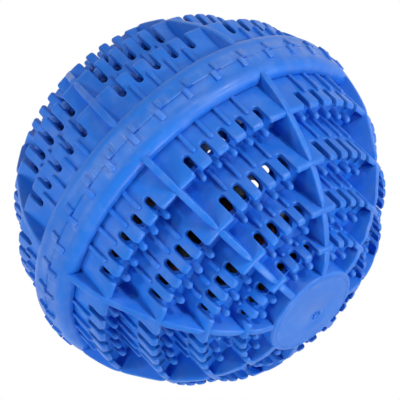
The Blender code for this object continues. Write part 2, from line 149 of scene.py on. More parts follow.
class Ring:
    """One ring of tabs with its trench: radii from the axis and heights from the seam.

    Given in millimetres and degrees are the wall's outer radius, the top of the tabs, the lower end
    of the slots, the inner end of the water holes, the number and pitch of the slots, the number,
    pitch and radius of the posts, how far they stand over the tabs, and the top of the ribs."""

    trench_depth = 2.6 * MM

    def __init__(self, outer, top, slot_start, hole_end, slots, pitch, posts, post_pitch,
                 post_radius, post_rise, rib_top):
        self.outer = outer * MM
        self.top = top * MM
        self.floor = self.top - self.trench_depth
        self.slot_start = slot_start * MM
        self.hole_end = hole_end * MM
        self.slot_centres = spread(slots, pitch)
        self.rib_centres = spread(slots - 1, pitch)
        self.post_centres = spread(posts, post_pitch)
        self.post_radius = post_radius * MM
        self.post_top = self.top + post_rise * MM
        self.rib_top = rib_top * MM


RINGS = (
    Ring(outer=47.6, top=18.2, slot_start=12.2, hole_end=44.25, slots=5, pitch=6.93,
         posts=5, post_pitch=6.90, post_radius=43.0, post_rise=0.9, rib_top=13.6),
    Ring(outer=40.1, top=30.5, slot_start=23.4, hole_end=35.9, slots=5, pitch=6.90,
         posts=4, post_pitch=8.35, post_radius=34.8, post_rise=1.0, rib_top=23.7),
    Ring(outer=31.1, top=39.1, slot_start=33.0, hole_end=26.8, slots=4, pitch=8.35,
         posts=3, post_pitch=12.24, post_radius=25.5, post_rise=0.5, rib_top=33.5),
    Ring(outer=21.5, top=44.0, slot_start=38.9, hole_end=18.0, slots=3, pitch=12.24,
         posts=2, post_pitch=17.2, post_radius=16.65, post_rise=0.3, rib_top=39.2),
)
# The first wall and its ribs start in the band's shoulder. The others start in the floor of the
# trench outside them: the walls go nearly through it, and the ribs just under its top.
FIRST_WALL_FOOT = 5.2 * MM
FIRST_RIB_FOOT = 5.6 * MM
WALL_SINK = 1.15 * MM
RIB_SINK = 0.4 * MM
RIB_PROUD = 0.9 * MM
RIB_BURIED = 0.5 * MM
RIB_END = 0.7 * MM

DISC_RADIUS = 13.5 * MM
DISC_HEIGHT = 46.3 * MM
DISC_ROUNDING = 0.8 * MM
# The round mark of the moulding gate lies off the disc's middle. Its rows go outwards from there:
# radius, and depth under the disc's face.
GATE_PLACE = (-3.8 * MM, 0.0)
GATE_MARK = MM * np.array([(0.35, 0.06), (0.6, 0.08), (0.75, 0.5), (1.2, 0.55), (1.45, 0.1),
                           (1.65, 0.03), (2.15, 0.03), (2.3, 0.09), (2.45, 0.09), (2.65, 0.01)])
# A fine groove round the disc's edge: distance from that edge, and depth.
DISC_GROOVE = MM * np.array([(1.6, 0.0), (1.45, 0.1), (1.3, 0.1), (1.15, 0.0)])

# The band's section, as (radius, height) where there are two. Its face falls back by the square of
# the height. Its shoulder is a quarter of a superellipse, and a small arc turns down from the
# shoulder into the crease beside the first wall. The inside of the rim runs round the twist lock.
RIM_INSIDE = 50.3 * MM
RIM_BASE = 3.6 * MM
BAND_CHAMFER = (0.15 * MM, 0.25 * MM)
BAND_FACE_TOP = 2.6 * MM
BAND_FACE_FALL = 0.04 / MM
SHOULDER_CENTRE = (48.4 * MM, 2.95 * MM)
SHOULDER_REACH = (3.2 * MM, 4.0 * MM)
CREASE_ARC_CENTRE = (48.3 * MM, 6.25 * MM)
CREASE_ARC_RADIUS = 0.7 * MM
CREASE_HEIGHT = 6.2 * MM
SHOULDER_UNDERSIDE = 4.7 * MM

# The grip bars stand on the band's face and fall back with it.
GRIP_COUNT = 36
GRIP_PHASE = 8.2
GRIP_TOP = 2.95 * MM
GRIP_PROUD = 0.7 * MM
GRIP_BURIED = 0.6 * MM
GRIP_END = 0.25 * MM

# A fin is drawn by bearing, in degrees, from a centre on the axis a little beyond the seam. Its
# falls are the depth, the bearing where it starts and the degrees in which it gets that deep. Its
# pinch at the band is the share of its breadth that it loses, and the degrees over which it does.
# Its bulges are how far its edge may stand over the straight line between two tops.
FIN_CENTRE_HEIGHT = -2.0 * MM
FIN_RADIUS = 51.8 * MM
FIN_BEARINGS = (7.5, 75.0)
FIN_FALL_TO_POLE = (2.1 * MM, 52.8, 21.6)
FIN_FALL_TO_BAND = (0.47 * MM, 11.0, 3.1)
FIN_PINCH_AT_BAND = (0.7, 3.5)
FIN_ROUNDING = 0.4 * MM
FIN_TIP_SHARE = 0.86
FIN_FOOT_IN_BAND = (50.2 * MM, 4.6 * MM)
FIN_BULGES = (0.1 * MM, 0.1 * MM, 0.0, 0.2 * MM)
# What a fin does at the top of each ring's tabs: the depth of its dip, the share of its breadth
# that it loses, the degrees over which it loses them, and the dip's reach towards the pole.
FIN_NOTCHES = ((0.2 * MM, 0.12, 3.0, 1.2), (0.6 * MM, 0.6, 5.0, 1.3),
               (0.65 * MM, 0.55, 4.0, 2.6), (0.7 * MM, 0.5, 4.0, 1.5))

# Sections of the twist lock, as (radius, height), and the arcs of its blocks from the start of a
# sector. The spigot and its lugs belong to the lower half, the ledges and stops to the upper one.
SPIGOT = MM * np.array([(47.3, 4.4), (47.3, -3.2), (47.5, -3.35), (48.7, -3.35), (48.9, -3.2),
                        (48.9, 4.4)])
LUG = MM * np.array([(48.6, -2.9), (49.7, -2.9), (49.7, -1.8), (48.6, -1.8)])
LEDGE = MM * np.array([(49.5, 0.15), (50.6, 0.15), (50.6, 1.5), (49.5, 1.5)])
STOP = MM * np.array([(49.5, 0.15), (50.6, 0.15), (50.6, 4.0), (49.5, 4.0)])
LUG_ARC = (2.85, 21.85)
LEDGE_ARC = (22.5, 42.5)
STOP_ARC = (42.5, 45.0)

# The loose beads' heap rises from one side of the ball to the other, so that the photograph's lines
# of sight through the holes stay open: its height over the axis, how much it falls for each length
# gone, and which way. Its lattice is tried for so many rows each way.
BEAD_SEED = 7
BEAD_GAP = 0.3 * MM
HEAP_LAYERS = 7
HEAP_ROWS = 9
HEAP_HEIGHT = 28.0 * MM
HEAP_SLOPE = 0.85
HEAP_FALL = (-0.342, 0.940)

SMALL_LAMP = 0.15
WIDE_LAMP = 0.5
# Each lamp's name, size across and place to the right, up and back from the ball's middle, as the
# camera sees it, in metres, and whether its gloss shows. At the left and behind, gloss would draw
# streaks along the band and a haze on the rear walls.
LAMPS = (
    ("key", SMALL_LAMP, (0.7, 0.7, 0.8), True),
    ("right", SMALL_LAMP, (1.0, 0.1, 0.8), True),
    ("top", SMALL_LAMP, (0.1, 0.9, 0.9), True),
    ("left", SMALL_LAMP, (-1.0, 0.3, 0.7), False),
    ("far_right", WIDE_LAMP, (1.2, 0.0, 0.4), True),
    ("far_left", WIDE_LAMP, (-1.2, 0.0, 0.4), True),
    ("low_right", WIDE_LAMP, (0.8, -0.9, 0.5), True),
    ("low_left", WIDE_LAMP, (-0.8, -0.9, 0.5), False),
    ("rear", WIDE_LAMP, (-0.25, 0.0, -1.0), False),
)
FLOOR_REACH = 6.0
FLOOR_HEIGHT = -0.3 * MM
SENSOR_WIDTH = 36.0
# Sockets of a Mix node in its colour mode.
MIX_FACTOR, MIX_A, MIX_B, MIX_RESULT = 0, 6, 7, 2


class Half:
    """One half shell: its names and how its own frame lies in the part's."""

    def __init__(self, name, node, body, matrix):
        self.name = name
        self.node = node
        self.body = body
        self.matrix = np.array(matrix)


UPPER_TURN = math.radians(45.6)
HALVES = (
    Half("lower", "lower_shell", "lower_half",
         Matrix.Translation((0.0, 0.0, SEAM_HEIGHT)) @ Matrix.Rotation(math.pi, 4, "X")),
    Half("upper", "upper_shell", "upper_half",
         Matrix.Translation((0.0, 0.0, SEAM_HEIGHT)) @ Matrix.Rotation(UPPER_TURN, 4, "Z")),
)


def cylinder_points(turn, radius, height):
    """Cartesian points from angles round the axis, radii and heights, as arrays of one shape."""
    angle = np.radians(turn)
    return np.stack(np.broadcast_arrays(radius * np.cos(angle), radius * np.sin(angle), height), -1)


def quad_grid(rows, columns, closed_rows, closed_columns):
    """Corner numbers of the quads of a grid of points that may close on itself either way."""
    u = np.arange(rows if closed_rows else rows - 1)[:, None]
    v = np.arange(columns if closed_columns else columns - 1)[None, :]
    next_u = (u + 1) % rows
    next_v = (v + 1) % columns
    corners = np.broadcast_arrays(u * columns + v, next_u * columns + v,
                                  next_u * columns + next_v, u * columns + next_v)
    return np.stack(corners, -1).reshape(-1, 4)


class Surface:
    """Points and faces of a piece while it is put together."""

    def __init__(self):
        self.points = []
        self.faces = []
        self.count = 0

    def add(self, points, faces):
        """Add points of shape (n, 3) and faces that number them from 0."""
        self.points.append(points)
        self.faces += (faces + self.count).tolist()
        self.count += len(points)

    def add_ring(self, points):
        """Add a closed ring: a grid that joins up both round the axis and round its section."""
        rows, columns, _ = points.shape
        self.add(points.reshape(-1, 3), quad_grid(rows, columns, True, True))

    def add_bar(self, points):
        """Add a closed bar: a grid that joins up round its section, with a fan on each end."""
        rows, columns, _ = points.shape
        ends = np.stack([points[0].mean(0), points[-1].mean(0)])
        body = np.concatenate([points.reshape(-1, 3), ends])
        self.add(body, quad_grid(rows, columns, False, True))
        around = np.arange(columns)
        after = (around + 1) % columns
        hub = np.full(columns, rows * columns)
        first = np.stack([hub, after, around], -1)
        last = np.stack([hub + 1, around + columns * (rows - 1), after + columns * (rows - 1)], -1)
        base = self.count - len(body)
        self.faces += (np.concatenate([first, last]) + base).tolist()

    def add_bars(self, points):
        """Add many closed bars at once, from an array of their grids."""
        for bar in points:
            self.add_bar(bar)

    def finish(self, name, half, material, crease=40.0):
        """Make the object in the part's frame, smooth except at creases, riding on the half's body."""
        points = np.concatenate(self.points)
        placed = points @ half.matrix[:3, :3].T + half.matrix[:3, 3]
        obj = new_object(f"{half.name}_{name}", placed, self.faces, material, crease)
        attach(obj, half.body)
        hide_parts(half.node)
        return obj


def new_object(name, points, faces, material, crease):
    """Mesh object at the origin, its faces turned outwards and its creases kept sharp."""
    mesh = bpy.data.meshes.new(name)
    mesh.from_pydata(points.tolist(), [], faces)
    bm = bmesh.new()
    bm.from_mesh(mesh)
    bmesh.ops.recalc_face_normals(bm, faces=bm.faces)
    bm.to_mesh(mesh)
    bm.free()
    mesh.shade_smooth()
    mesh.set_sharp_from_angle(angle=math.radians(crease))
    mesh.materials.append(material)
    obj = bpy.data.objects.new(name, mesh)
    bpy.context.scene.collection.objects.link(obj)
    return obj


def linear(hex_colour):
    """Linear red, green, blue and alpha from an sRGB hex colour."""
    parts = [int(hex_colour[i:i + 2], 16) / 255 for i in (0, 2, 4)]
    return (*[p / 12.92 if p <= 0.04045 else ((p + 0.055) / 1.055) ** 2.4 for p in parts], 1.0)


def add_node(tree, kind, settings=None, inputs=None, links=None):
    """Add a node with its settings, its input values and its links, each link a (node, socket)."""
    node = tree.nodes.new(kind)
    for name, value in (settings or {}).items():
        setattr(node, name, value)
    for name, value in (inputs or {}).items():
        node.inputs[name].default_value = value
    for name, (source, output) in (links or {}).items():
        tree.links.new(source.outputs[output], node.inputs[name])
    return node


def new_material(name):
    """Empty node material, with its tree and its principled shader."""
    material = bpy.data.materials.new(name)
    material.use_nodes = True
    return material, material.node_tree, material.node_tree.nodes["Principled BSDF"]


def scuffs_near_seam(tree, coordinates):
    """Amount of pale haze near the seam, in patches of a few millimetres, with faint scratches.

    The scratches are a noise stretched sixteen times along the axis, and 0.5 mm wide, coarser than
    real ones, so that they show. The haze fades out where the band begins to round over."""
    patch_size = 9 * MM
    scratch_width = 0.5 * MM
    scratch_stretch = 16
    place = add_node(tree, "ShaderNodeSeparateXYZ", links={"Vector": (coordinates, "Object")})
    level = add_node(tree, "ShaderNodeMath", {"operation": "SUBTRACT"}, inputs={1: SEAM_HEIGHT},
                     links={0: (place, "Z")})
    away = add_node(tree, "ShaderNodeMath", {"operation": "ABSOLUTE"}, links={0: (level, 0)})
    near = add_node(tree, "ShaderNodeMapRange",
                    inputs={"From Min": 2.8 * MM, "From Max": 4.4 * MM, "To Min": 1.0, "To Max": 0.0},
                    links={"Value": (away, 0)})
    patchy = add_node(tree, "ShaderNodeTexNoise", inputs={"Scale": 1 / patch_size},
                      links={"Vector": (coordinates, "Object")})
    patches = add_node(tree, "ShaderNodeMapRange", inputs={"From Min": 0.4, "From Max": 0.62},
                       links={"Value": (patchy, "Fac")})
    stretched = add_node(tree, "ShaderNodeMapping", inputs={"Scale": (1.0, 1.0, 1 / scratch_stretch)},
                         links={"Vector": (coordinates, "Object")})
    scratchy = add_node(tree, "ShaderNodeTexNoise", inputs={"Scale": 1 / scratch_width, "Detail": 1.0},
                        links={"Vector": (stretched, "Vector")})
    scratches = add_node(tree, "ShaderNodeMapRange",
                         inputs={"From Min": 0.58, "From Max": 0.7, "To Min": 0.24, "To Max": 0.55},
                         links={"Value": (scratchy, "Fac")})
    haze = add_node(tree, "ShaderNodeMath", {"operation": "MULTIPLY"},
                    links={0: (patches, "Result"), 1: (scratches, "Result")})
    return add_node(tree, "ShaderNodeMath", {"operation": "MULTIPLY"},
                    links={0: (haze, 0), 1: (near, "Result")})


def moulded_polypropylene(scuffed=False):
    """Injection moulded polypropylene: satin, slightly waxy, with slow flow marks, a thin pale bloom
    in patches and a fine spark eroded grain. The grain is drawn at 0.35 mm, coarser than the real
    0.05 mm, so that it shows. The band's copy is scuffed by handling too."""
    name = "scuffed_polypropylene" if scuffed else "moulded_polypropylene"
    material = bpy.data.materials.get(name)
    if material:
        return material
    colours = bpy.context.scene.ball_colours
    material, tree, shader = new_material(name)
    coordinates = add_node(tree, "ShaderNodeTexCoord")
    flow, waves, bloom, grain = (
        add_node(tree, "ShaderNodeTexNoise", inputs={"Scale": 1 / size, "Detail": detail},
                 links={"Vector": (coordinates, "Object")})
        for size, detail in ((14 * MM, 2.0), (3.5 * MM, 2.0), (4 * MM, 3.0), (0.35 * MM, 3.0)))
    marks = add_node(tree, "ShaderNodeMapRange", inputs={"From Min": 0.35, "From Max": 0.65},
                     links={"Value": (flow, "Fac")})
    tint = add_node(tree, "ShaderNodeMix", {"data_type": "RGBA"},
                    inputs={MIX_A: linear(colours.plastic_deep), MIX_B: linear(colours.plastic)},
                    links={MIX_FACTOR: (marks, "Result")})
    haze = add_node(tree, "ShaderNodeMapRange",
                    inputs={"From Min": 0.46, "From Max": 0.66, "To Min": 0.0, "To Max": 0.1},
                    links={"Value": (bloom, "Fac")})
    if scuffed:
        scuffs = scuffs_near_seam(tree, coordinates)
        haze = add_node(tree, "ShaderNodeMath", {"operation": "MAXIMUM"},
                        links={0: (haze, "Result"), 1: (scuffs, 0)})
    skin = add_node(tree, "ShaderNodeMix", {"data_type": "RGBA"}, inputs={MIX_B: linear(colours.scuff)},
                    links={MIX_FACTOR: (haze, 0), MIX_A: (tint, MIX_RESULT)})
    tree.links.new(skin.outputs[MIX_RESULT], shader.inputs["Base Color"])
    gloss = add_node(tree, "ShaderNodeMapRange",
                     inputs={"From Min": 0.3, "From Max": 0.7, "To Min": 0.34, "To Max": 0.46},
                     links={"Value": (waves, "Fac")})
    tree.links.new(gloss.outputs["Result"], shader.inputs["Roughness"])
    wavy = add_node(tree, "ShaderNodeBump", inputs={"Strength": 0.35, "Distance": 0.05 * MM},
                    links={"Height": (waves, "Fac")})
    fine = add_node(tree, "ShaderNodeBump", inputs={"Strength": 0.25, "Distance": 0.02 * MM},
                    links={"Height": (grain, "Fac"), "Normal": (wavy, "Normal")})
    tree.links.new(fine.outputs["Normal"], shader.inputs["Normal"])
    shader.inputs["IOR"].default_value = 1.49
    shader.inputs["Specular IOR Level"].default_value = 0.38
    return material


def fired_ceramic(kind):
    """Unglazed fired clay: matt and chalky, with mineral specks 0.6 mm across and a slightly pitted
    skin."""
    name = f"fired_{kind}_ceramic"
    material = bpy.data.materials.get(name)
    if material:
        return material
    clay = linear(getattr(bpy.context.scene.ball_colours, f"{kind}_ceramic"))
    speck_share = 0.45
    specked = (*[c * speck_share for c in clay[:3]], 1.0)
    material, tree, shader = new_material(name)
    coordinates = add_node(tree, "ShaderNodeTexCoord")
    specks = add_node(tree, "ShaderNodeTexNoise", inputs={"Scale": 1 / (0.6 * MM), "Detail": 4.0},
                      links={"Vector": (coordinates, "Object")})
    between = add_node(tree, "ShaderNodeMapRange", inputs={"From Min": 0.38, "From Max": 0.6},
                       links={"Value": (specks, "Fac")})
    tint = add_node(tree, "ShaderNodeMix", {"data_type": "RGBA"}, inputs={MIX_A: specked, MIX_B: clay},
                    links={MIX_FACTOR: (between, "Result")})
    tree.links.new(tint.outputs[MIX_RESULT], shader.inputs["Base Color"])
    pits = add_node(tree, "ShaderNodeBump", inputs={"Strength": 0.6, "Distance": 0.08 * MM},
                    links={"Height": (specks, "Fac")})
    tree.links.new(pits.outputs["Normal"], shader.inputs["Normal"])
    shader.inputs["Roughness"].default_value = 0.82
    shader.inputs["IOR"].default_value = 1.55
    return material


def wall_columns(ring, slot_width):
    """Columns of a wall all round: their angles, top heights, edge rounding and side rounding.

    A slot's lower end is a half circle. A tab's top corners and the edges along its sides are
    quarter circles. All are read as heights or depths over the distance round the wall."""
    half = slot_width / 2
    side = 0.02 * MM
    corner = 0.65 * MM
    fillet = 0.3 * MM
    slot_edge = 0.35 * MM
    tab_edge = 1.2 * MM
    slot_points = 9
    step = 1.5
    least_step = 0.8
    across = half * np.sin(np.radians(np.linspace(-90, 90, slot_points)))
    slot_top = ring.slot_start + half - np.sqrt(np.maximum(half ** 2 - across ** 2, 0.0))
    inward = corner * np.array([0.0, 0.12, 0.3, 0.6, 1.0])
    tab_top = ring.top - corner + np.sqrt(corner ** 2 - (corner - inward) ** 2)
    reach = np.maximum(fillet - inward, 0.0)
    side_drop = fillet - np.sqrt(fillet ** 2 - reach ** 2)
    degrees = math.degrees(1.0 / ring.outer)
    turns, tops, edges, drops = [], [], [], []
    centres = [centre + SECTOR * k for k in range(SECTORS) for centre in ring.slot_centres]
    for centre, following in zip(centres, centres[1:] + [centres[0] + 360.0]):
        start = centre + (half + side) * degrees
        end = following - (half + side) * degrees
        middle = np.arange(start + corner * degrees + step, end - corner * degrees - least_step, step)
        turns += [centre + across * degrees, start + inward * degrees, middle,
                  end - inward[::-1] * degrees]
        tops += [slot_top, tab_top, np.full(len(middle), ring.top), tab_top[::-1]]
        edges += [np.full(slot_points, slot_edge), np.full(len(middle) + 2 * len(inward), tab_edge)]
        drops += [np.zeros(slot_points), side_drop, np.zeros(len(middle)), side_drop[::-1]]
    return tuple(np.concatenate(row)[:, None] for row in (turns, tops, edges, drops))


def carried(turn, rows):
    """Grid of a section's (radius, height) rows at each angle, where each may differ from angle to
    angle."""
    radius = np.concatenate([r + 0 * turn for r, _ in rows], 1)
    height = np.concatenate([h + 0 * turn for _, h in rows], 1)
    return cylinder_points(turn, radius, height)


def wall_ring(ring, base, sizes):
    """Grid of one wall with its tabs and slots.

    Section from the inside bottom round by the outside to the inside again. Rows above the slots'
    lower ends are spread between that height and each column's own top; the outer top edge is a
    quarter circle."""
    turn, top, edge, drop = wall_columns(ring, sizes.slot_width)
    outer = ring.outer
    inner = ring.outer - sizes.wall
    lip = 0.1 * MM
    margin = 0.4 * MM
    under_slots = 0.5 * MM
    edge = np.minimum(edge, sizes.wall - 1.5 * lip - drop)
    split = ring.slot_start - under_slots
    clear = ring.slot_start + sizes.slot_width / 2
    rise = top - edge - split
    rows = [(inner, base), (outer, base), (outer, split),
            (outer, np.minimum(clear - margin, split + 0.5 * rise)),
            (outer - drop, np.minimum(clear + margin, split + 0.8 * rise)),
            (outer - drop, top - edge)]
    for angle in np.radians((22.5, 45.0, 67.5, 90.0)):
        rows.append((outer - drop - edge * (1 - np.cos(angle)), top - edge * (1 - np.sin(angle))))
    rows += [(inner + lip, top), (inner, top - lip), (inner, split)]
    return carried(turn, rows)


def floor_ring(ring, next_wall, sizes):
    """Grid of one trench floor. Its outer edge is inside the wall behind the tabs, and runs in to
    the hole's end, with small round corners, where there is a slot."""
    turn, *_ = wall_columns(ring, sizes.slot_width)
    degrees = math.degrees(1.0 / ring.outer)
    half = sizes.slot_width / 2
    centres = np.array([c + SECTOR * k for k in range(SECTORS) for c in ring.slot_centres])
    offset = (turn - centres[None, :] + 180.0) % 360.0 - 180.0
    offset = np.abs(offset).min(1, keepdims=True) / degrees
    corner = 0.4 * MM
    lip = 0.15 * MM
    overlap = 0.1 * MM
    tolerance = 0.001 * MM
    past = np.clip(offset - (half - corner), 0.0, corner)
    hole = ring.hole_end + corner - np.sqrt(corner ** 2 - past ** 2)
    buried = ring.outer - sizes.wall / 2
    edge = np.where(offset <= half + tolerance, hole, buried)
    inner = next_wall + overlap
    return carried(turn, [(edge + lip, ring.floor), (edge, ring.floor - lip),
                          (edge, ring.floor - sizes.floor), (inner, ring.floor - sizes.floor),
                          (inner, ring.floor)])


def turned(profile, sides=144):
    """Grid of a closed profile of (radius, height) carried all round the axis."""
    return carried(np.arange(sides)[:, None] * 360.0 / sides, profile)


def arc(centre, radius, start, end, steps):
    """Points of (radius, height) on a circular arc between two angles."""
    angles = np.radians(np.linspace(start, end, steps))
    return [(centre[0] + radius * math.cos(a), centre[1] + radius * math.sin(a)) for a in angles]


def ridge(width, proud, buried, bottom, top, end, squareness):
    """Grid of a rounded ridge in its own frame: across, outwards and up.

    The section is a superellipse half over a buried rectangle, and it shrinks along a quarter
    ellipse over the length of the round end at the top."""
    phase = np.radians(np.linspace(0, 180, 9))
    across = width / 2 * np.sign(np.cos(phase)) * np.abs(np.cos(phase)) ** squareness
    outwards = proud * np.abs(np.sin(phase)) ** (squareness + 0.1)
    across = np.append(across, [-width / 2, width / 2])
    outwards = np.append(outwards, [-buried, -buried])
    swing = np.radians(np.linspace(0, 88, 6))
    height = np.append([bottom], top - end + end * np.sin(swing))
    scale = np.append([1.0], np.cos(swing))[:, None]
    shape = np.broadcast_arrays(across[None, :] * scale,
                                np.where(outwards > 0, outwards * scale, outwards), height[:, None])
    return np.stack(shape, -1)


def placed_at(template, turns, radii):
    """Copies of a template of (across, outwards, up), one at each angle and radius."""
    turn = np.radians(np.asarray(turns, float))[:, None, None]
    across, outwards, up = template[None, ..., 0], template[None, ..., 1], template[None, ..., 2]
    radius = np.asarray(radii, float)[:, None, None] + outwards
    return np.stack(np.broadcast_arrays(radius * np.cos(turn) - across * np.sin(turn),
                                        radius * np.sin(turn) + across * np.cos(turn), up), -1)


def all_round(centres):
    """Angles of a sector's features repeated for every sector."""
    return (np.asarray(centres)[None, :] + SECTOR * np.arange(SECTORS)[:, None]).ravel()


def starts_on_rings(first, sink):
    """Height at which each ring's wall or ribs start: the first as given, and the others sunk into
    the floor of the trench outside them."""
    return [first] + [ring.floor - sink for ring in RINGS[:-1]]


class BallOperator:
    """What the ball's operators share."""

    bl_options = {"REGISTER", "UNDO"}

    @property
    def sizes(self):
        """The sizes that the user can change."""
        return bpy.context.scene.ball_sizes

    def on_both_halves(self, name, surface, material, crease=40.0):
        """Make one piece on each half, which ends the operator."""
        for half in HALVES:
            surface.finish(name, half, material, crease)
        return {"FINISHED"}


class BALL_OT_tab_walls(BallOperator, bpy.types.Operator):
    """Four stepped walls of each half, with their tabs and slots"""

    bl_idname = "ball.tab_walls"
    bl_label = "Tab walls"

    def execute(self, context):
        surface = Surface()
        for ring, base in zip(RINGS, starts_on_rings(FIRST_WALL_FOOT, WALL_SINK)):
            surface.add_ring(wall_ring(ring, base, self.sizes))
        return self.on_both_halves("tab_walls", surface, moulded_polypropylene())


class BALL_OT_trench_floors(BallOperator, bpy.types.Operator):
    """Floors of the trenches behind the walls, with their water holes"""

    bl_idname = "ball.trench_floors"
    bl_label = "Trench floors"

    def execute(self, context):
        next_outer = [ring.outer for ring in RINGS[1:]] + [DISC_RADIUS]
        surface = Surface()
        for ring, outer in zip(RINGS, next_outer):
            surface.add_ring(floor_ring(ring, outer - self.sizes.wall, self.sizes))
        return self.on_both_halves("trench_floors", surface, moulded_polypropylene())


class BALL_OT_posts(BallOperator, bpy.types.Operator):
    """Round posts with domed tops in the trenches"""

    bl_idname = "ball.posts"
    bl_label = "Posts"

    def execute(self, context):
        radius = self.sizes.post_diameter / 2
        foot_depth = 0.6 * MM
        foot_flare = 1.06
        phase = np.radians(np.arange(10) * 36.0)
        swing = np.radians([0.0, 30.0, 60.0, 82.0])
        surface = Surface()
        for ring in RINGS:
            up = np.append(ring.floor - foot_depth, ring.post_top - radius * (1 - np.sin(swing)))
            reach = np.append(radius * foot_flare, radius * np.cos(swing))
            template = np.stack(np.broadcast_arrays(
                reach[:, None] * np.cos(phase), reach[:, None] * np.sin(phase), up[:, None]), -1)
            turns = all_round(ring.post_centres)
            surface.add_bars(placed_at(template, turns, np.full(len(turns), ring.post_radius)))
        return self.on_both_halves("posts", surface, moulded_polypropylene())


class BALL_OT_ribs(BallOperator, bpy.types.Operator):
    """Short ribs up the walls, in line with the middle of each tab"""

    bl_idname = "ball.ribs"
    bl_label = "Ribs"

    def execute(self, context):
        surface = Surface()
        for ring, base in zip(RINGS, starts_on_rings(FIRST_RIB_FOOT, RIB_SINK)):
            template = ridge(self.sizes.rib_width, RIB_PROUD, RIB_BURIED, base, ring.rib_top,
                             RIB_END, squareness=0.4)
            turns = all_round(ring.rib_centres)
            surface.add_bars(placed_at(template, turns, np.full(len(turns), ring.outer)))
        return self.on_both_halves("ribs", surface, moulded_polypropylene())


def fin_outline(angle):
    """Distance of a fin's edge from its centre, and its share of breadth, at each bearing in degrees.

    The edge falls in from the fin's radius by squares towards both ends. Between two tops it keeps
    to their chord, bulged by a half sine, where that is nearer, and at each top it dips by a bell
    curve. The breadth narrows by powers of one and a half, at the band and at each top."""
    swing = np.radians(angle)
    to_pole, pole_start, pole_span = FIN_FALL_TO_POLE
    to_band, band_start, band_span = FIN_FALL_TO_BAND
    edge = (FIN_RADIUS - to_pole * np.clip((angle - pole_start) / pole_span, 0.0, 1.0) ** 2
            - to_band * np.clip((band_start - angle) / band_span, 0.0, 2.0) ** 2)
    lost, span = FIN_PINCH_AT_BAND
    breadth = 1.0 - lost * (1.0 - np.clip((angle - FIN_BEARINGS[0]) / span, 0.0, 1.0)) ** 1.5
    tops = [(ring.outer, ring.top - FIN_CENTRE_HEIGHT) for ring in RINGS]
    tops.append((DISC_RADIUS, DISC_HEIGHT - FIN_CENTRE_HEIGHT))
    bearings = [math.degrees(math.atan2(up, out)) for out, up in tops]
    for (r0, h0), (r1, h1), low, high, bulge in zip(tops, tops[1:], bearings, bearings[1:], FIN_BULGES):
        along = np.clip((angle - low) / (high - low), 0.0, 1.0)
        chord = (r0 * h1 - r1 * h0) / ((h1 - h0) * np.cos(swing) - (r1 - r0) * np.sin(swing))
        chord = chord + bulge * np.sin(np.pi * along)
        edge = np.where((angle > low) & (angle < high), np.minimum(edge, chord), edge)
    dip_before = 1.4
    taper_after = 1.2
    for top, (dip, pinch, taper, dip_after) in zip(bearings, FIN_NOTCHES):
        before = np.clip((top - angle) / taper, 0.0, 1.0)
        after = np.clip((angle - top) / taper_after, 0.0, 1.0)
        reached = np.where(angle < top, before, after)
        breadth = breadth * (1.0 - pinch * (1.0 - reached) ** 1.5)
        span = np.where(angle < top, dip_before, dip_after)
        edge = edge - dip * np.exp(-((angle - top) / span) ** 2)
    return edge, breadth


class BALL_OT_fins(BallOperator, bpy.types.Operator):
    """Eight fins along meridians, from the band to the polar disc"""

    bl_idname = "ball.fins"
    bl_label = "Fins"

    def execute(self, context):
        sizes = self.sizes
        angle = np.linspace(*FIN_BEARINGS, 136)[:, None]
        swing = np.radians(angle)
        outer, breadth = fin_outline(angle)
        steps = [(ring.outer - sizes.wall / 2, ring.floor - sizes.floor / 2) for ring in RINGS]
        steps += [FIN_FOOT_IN_BAND, (DISC_RADIUS - sizes.wall / 2, DISC_HEIGHT - DISC_ROUNDING)]
        inner = np.max([np.minimum(radius / np.cos(swing), (height - FIN_CENTRE_HEIGHT) / np.sin(swing))
                        for radius, height in steps], 0)
        foot = sizes.fin_thickness / 2 * breadth
        tip = foot * FIN_TIP_SHARE
        rounding = np.minimum(FIN_ROUNDING, tip * 0.9)
        bend = np.radians((0.0, 30.0, 60.0, 90.0))[None, :]
        reach = outer - rounding + rounding * np.sin(bend)
        across = tip - rounding + rounding * np.cos(bend)
        distance = np.concatenate([inner, reach, reach[:, ::-1], inner], 1)
        sideways = np.concatenate([foot, across, -across[:, ::-1], -foot], 1)
        template = np.stack([sideways, distance * np.cos(swing),
                             FIN_CENTRE_HEIGHT + distance * np.sin(swing)], -1)
        turns = SECTOR * np.arange(SECTORS)
        surface = Surface()
        surface.add_bars(placed_at(template, turns, np.zeros(SECTORS)))
        return self.on_both_halves("fins", surface, moulded_polypropylene())


